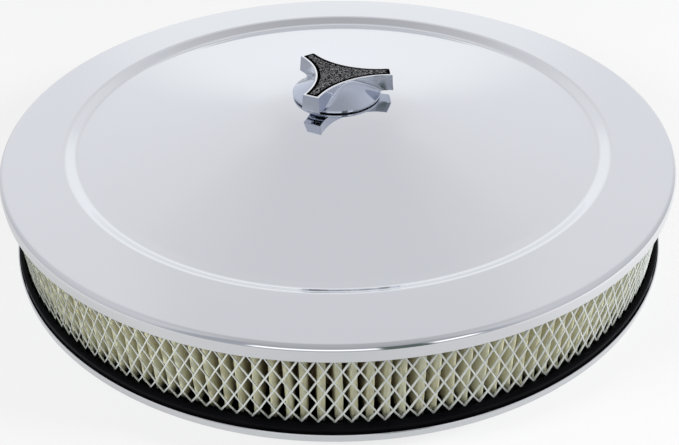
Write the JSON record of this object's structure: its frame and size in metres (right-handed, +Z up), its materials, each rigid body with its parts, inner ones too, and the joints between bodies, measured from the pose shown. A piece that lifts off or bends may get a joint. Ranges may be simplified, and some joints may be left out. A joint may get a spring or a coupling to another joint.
{
  "type": "carburetor air cleaner",
  "caption": "Round open-element carburetor air cleaner with crowned lid, base pan, pleated ring filter behind expanded-metal guards, central stud and wing nut.",
  "frame": {"origin": "centre of the neck gasket's underside, the lowest plane of the part, on the stud's axis", "axes": "+Z up along the stud from the carburetor to the wing nut; X and Y in the gasket's plane"},
  "size_m": [0.3586, 0.3586, 0.0925],
  "materials": {
    "lid_chrome": "polished chrome plate on pressed steel",
    "pan_chrome": "polished chrome plate on pressed steel",
    "nut_chrome": "polished chrome plate on a die casting",
    "inlay_plastic": "black, leather grain inside a plain band",
    "seal_rubber": "black moulded rubber, satin",
    "gasket_rubber": "black rubber sheet",
    "filter_paper": "cream resin-treated filter paper",
    "guard_steel": "galvanised expanded steel",
    "stud_steel": "zinc plated",
    "washer_fibre": "black fibre"
  },
  "bodies": {
    "cleaner": {"base_pan": "pan_chrome", "neck_gasket": "gasket_rubber", "filter_seal_lower": "seal_rubber", "filter_seal_upper": "seal_rubber", "filter_pleats": "filter_paper", "outer_guard": "guard_steel", "inner_guard": "guard_steel", "lid": "lid_chrome", "stud": "stud_steel"},
    "washer": {"nut_washer": "washer_fibre"},
    "nut": {"wing_nut": "nut_chrome", "nut_inlay": "inlay_plastic"}
  },
  "joints": [
    {"name": "nut_travel", "type": "slide", "parent": "cleaner", "child": "washer", "axis": [0, 0, 1], "range_m": [0, 0.00762]},
    {"name": "nut_turn", "type": "hinge", "parent": "washer", "child": "nut", "pos_m": [0, 0, 0.08104], "axis": [0, 0, 1], "range_deg": [0, 2160]}
  ],
  "couplings": [
    {"joint": "nut_travel", "follows": "nut_turn", "m_per_rad": 0.00020213}
  ]
}
